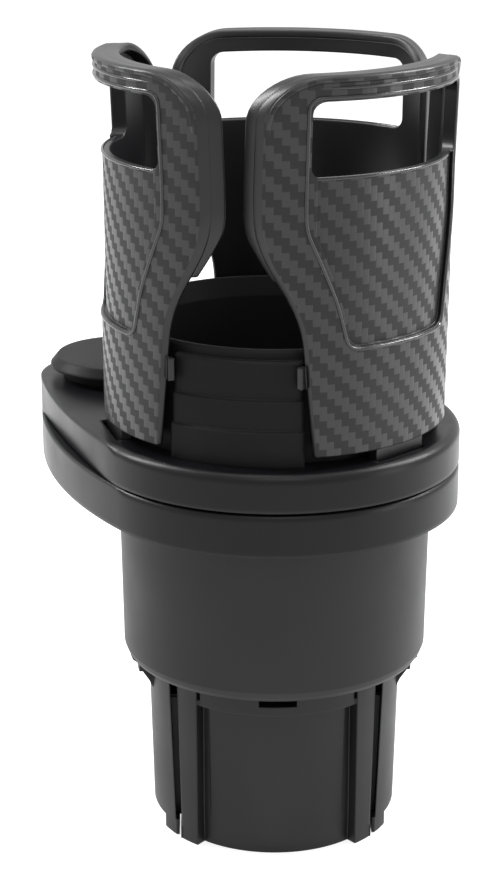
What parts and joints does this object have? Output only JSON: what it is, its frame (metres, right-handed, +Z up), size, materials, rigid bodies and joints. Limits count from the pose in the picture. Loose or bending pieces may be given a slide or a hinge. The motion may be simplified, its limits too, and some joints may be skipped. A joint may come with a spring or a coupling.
{
  "type": "cup holder expander",
  "caption": "Two-tier car cup holder expander: a plug with sliding claws, a lower cup, and an upper holder with tilting arms that swings aside.",
  "frame": {"origin": "middle of the base's underside, on the main axis", "axes": "+Z up along the main axis; the claws slide along X; the pictured side faces -Y"},
  "size_m": [0.1186, 0.1197, 0.2184],
  "materials": {
    "black_plastic": "satin black moulding",
    "woven_plastic": "black moulding with a twill texture",
    "rubber": "soft black rubber",
    "steel": "zinc plated"
  },
  "bodies": {
    "base": {"base_drum": "black_plastic", "guide_plate": "black_plastic", "guide_screws": "steel", "foot_pad": "rubber"},
    "claw_right": {"claw_right": "black_plastic"},
    "claw_left": {"claw_left": "black_plastic"},
    "cup": {"cup_body": "black_plastic", "lower_deck": "black_plastic", "rim_screws": "steel", "scroll_plate": "black_plastic", "scroll_screws": "steel", "turn_bolt": "steel", "turn_washer": "steel", "turn_nut": "steel", "cup_mat": "rubber", "deck_spacer": "black_plastic"},
    "holder": {"upper_deck": "black_plastic", "deck_cover": "black_plastic", "cover_screws": "steel", "holder_cup": "black_plastic", "holder_screws": "steel", "holder_mat": "rubber", "pivot_cap": "black_plastic", "pivot_bolt": "steel", "pivot_washer": "steel", "pivot_nut": "steel", "hinge_pin_back": "steel", "hinge_pin_left": "steel", "hinge_pin_right": "steel", "spring_back": "steel", "spring_left": "steel", "spring_right": "steel"},
    "arm_back": {"arm_back": "woven_plastic"},
    "arm_left": {"arm_left": "woven_plastic"},
    "arm_right": {"arm_right": "woven_plastic"}
  },
  "joints": [
    {"name": "cup_turn", "type": "hinge", "parent": "base", "child": "cup", "pos_m": [0, 0, 0.052], "axis": [0, 0, 1], "range_deg": [0, 150]},
    {"name": "claw_right_slide", "type": "slide", "parent": "base", "child": "claw_right", "axis": [1, 0, 0], "range_m": [0, 0.01]},
    {"name": "claw_left_slide", "type": "slide", "parent": "base", "child": "claw_left", "axis": [-1, 0, 0], "range_m": [0, 0.01]},
    {"name": "holder_swing", "type": "hinge", "parent": "cup", "child": "holder", "pos_m": [-0.044, 0.04509, 0.1074], "axis": [0, 0, 1], "range_deg": [0, 180]},
    {"name": "arm_back_tilt", "type": "hinge", "parent": "holder", "child": "arm_back", "pos_m": [0.01188, 0.04226, 0.11215], "axis": [-0.9627, 0.2706, 0], "range_deg": [0, 8], "stiffness_Nm_per_rad": 1, "springref_deg": -5.73},
    {"name": "arm_left_tilt", "type": "hinge", "parent": "holder", "child": "arm_left", "pos_m": [-0.04254, -0.01084, 0.11215], "axis": [0.247, -0.969, 0], "range_deg": [0, 8], "stiffness_Nm_per_rad": 1, "springref_deg": -5.73},
    {"name": "arm_right_tilt", "type": "hinge", "parent": "holder", "child": "arm_right", "pos_m": [0.03066, -0.03142, 0.11215], "axis": [0.7157, 0.6984, 0], "range_deg": [0, 8], "stiffness_Nm_per_rad": 1, "springref_deg": -5.73}
  ],
  "couplings": [
    {"joint": "claw_right_slide", "follows": "cup_turn", "m_per_rad": 0.0038197},
    {"joint": "claw_left_slide", "follows": "cup_turn", "m_per_rad": 0.0038197}
  ]
}
